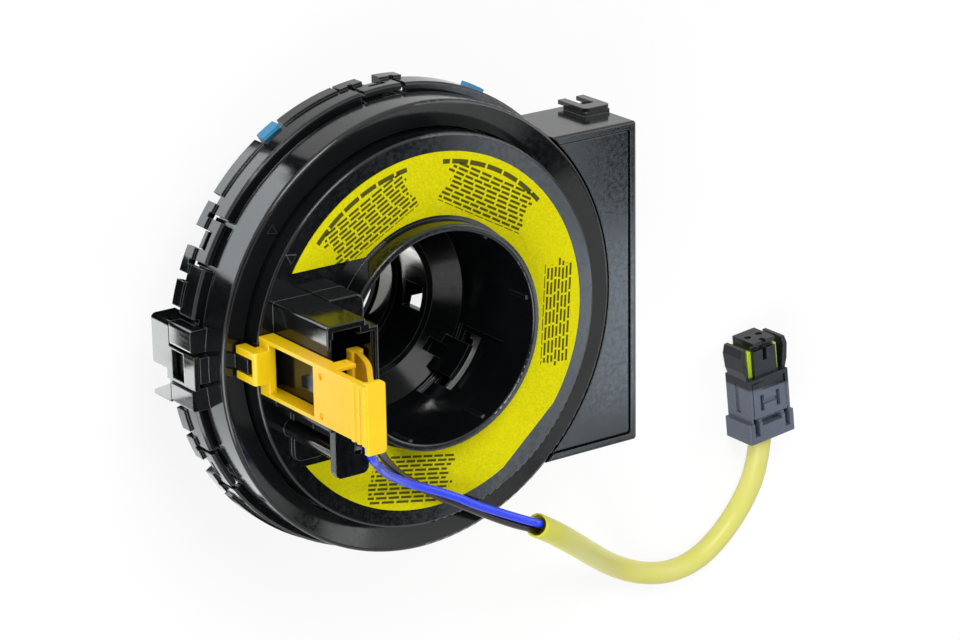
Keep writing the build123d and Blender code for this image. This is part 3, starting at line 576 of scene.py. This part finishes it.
# cards that show only as reflections in gloss: low and high corner, and how brightly each glows
cards = {
    "high_light_card": dict(low=(0.60, -0.80, 0.90), high=(0.69, 0.05, 0.90), glow=(2.3, 2.6, 2.8)),
    "side_light_card": dict(low=(0.69, -0.435, 0.90), high=(1.15, -0.325, 0.90), glow=(4.0, 4.5, 5.2)),
    "far_light_card": dict(low=(0.84, -0.60, 0.90), high=(1.15, -0.435, 0.90), glow=(2.6, 2.9, 3.2)),
    "high_dark_card": dict(low=(0.20, -0.80, 0.901), high=(1.15, 0.05, 0.901), glow=dark),
    "back_dark_card": dict(low=(-1.10, -0.15, 0.95), high=(-0.12, 0.55, 0.95), glow=dark),
    "table_dark_card": dict(low=(-0.16, -0.14, 0.0015), high=(-0.030, 0.100, 0.0015), glow=dark),
    "band_card": dict(low=(-0.100, 0.027, 0.003), high=(-0.036, 0.068, 0.003), glow=(3.4, 3.6, 3.7)),
    "lug_card": dict(low=(-0.0722, -0.0125, 0.003), high=(-0.050, 0.006, 0.003), glow=(6.0, 6.1, 6.1)),
    "lug_frame_card": dict(low=(-0.090, -0.0195, 0.003), high=(-0.050, -0.0125, 0.003), glow=(6.0, 6.1, 6.1)),
    "low_band_card": dict(low=(-0.085, -0.120, 0.003), high=(-0.034, -0.020, 0.003), glow=(1.8, 1.9, 1.95)),
    "bore_dark_card": dict(low=(-0.016, -0.016, 0.0015), high=(0.016, 0.016, 0.0015), glow=dark),
    "bore_card": dict(low=(0.0125, -0.010, 0.003), high=(0.016, 0.001, 0.003), glow=(8.0, 8.0, 7.6)),
}
world = dict(tint=(1.0, 1.0, 1.0), diffuse=0.40, shown=1.0)
paper = dict(
    tint=(0.9, 0.9, 0.9), shade=(0.84, 0.84, 0.84), clouds=dict(perMm=0.05, detail=2.0), rough=0.9,
    glow=0.84, half=3.0, drop=0.0002)


def addLamp(name):
    look = lamps[name]
    lamp = bpy.data.lights.new(name, "AREA")
    lamp.shape, lamp.size, lamp.size_y, lamp.energy = "RECTANGLE", *look["size"], look["power"]
    shape = bpy.data.objects.new(name, lamp)
    away = np.array(look["spot"]) - np.array(lampsAim)
    away /= np.linalg.norm(away)
    side = np.cross((0.0, 0.0, 1.0), away)
    side /= np.linalg.norm(side)
    placeAt(shape, (side, np.cross(away, side), away), look["spot"])
    shape.visible_camera = False


def stagePlane(name, low, high, material):
    # level rectangle between two corners
    across, along = np.meshgrid((low[0], high[0]), (low[1], high[1]))
    mesh = gridMesh(name, np.stack([across, along, np.full_like(across, low[2])], axis=-1), closed=False)
    mesh.materials.append(material)
    plane = bpy.data.objects.new(name, mesh)
    bpy.context.scene.collection.objects.link(plane)
    return plane


def addCard(name):
    look = cards[name]
    paint = Paint(name)
    card = stagePlane(name, look["low"], look["high"], paint.show(paint.node("Emission", None, look["glow"])))
    card.visible_camera = card.visible_diffuse = card.visible_transmission = card.visible_shadow = False


def shownRays(tree):
    # 1 for the rays that show the background itself: camera, gloss and glass
    camera, gloss, glass = [
        tree.node("LightPath", pick=f"Is {kind} Ray") for kind in ("Camera", "Glossy", "Transmission")]
    return camera.combine("MAXIMUM", camera.combine("MAXIMUM", camera, gloss), glass)


def buildSky():
    sky = bpy.data.worlds.new("studio_sky")
    bpy.context.scene.world = sky
    sky.use_nodes = True
    sky.node_tree.nodes.clear()
    tree = Tree(sky.node_tree)
    strength = shownRays(tree) * (world["shown"] - world["diffuse"]) + world["diffuse"]
    tree.add("OutputWorld", Surface=tree.node("Background", None, world["tint"], strength))


def layFloor():
    # white paper: what the camera sees is mostly plain white, and the object's shadow stays on it
    paint = Paint("studio_paper")
    tint = paint.blendColour(paint.noise(**paper["clouds"]), paper["tint"], paper["shade"])
    matt = paint.node("BsdfPrincipled", Base_Color=tint, Roughness=paper["rough"])
    shown = paint.node("MixShader", None, shownRays(paint) * paper["glow"], matt, paint.node("Emission"))
    half, level = paper["half"], -paper["drop"]
    stagePlane("studio_floor", (-half, -half, level), (half, half, level), paint.show(shown))


placeCamera()
for lampName in lamps:
    addLamp(lampName)
for cardName in cards:
    addCard(cardName)
buildSky()
layFloor()
bpy.context.scene.view_settings.view_transform = "Standard"
print("studio set")
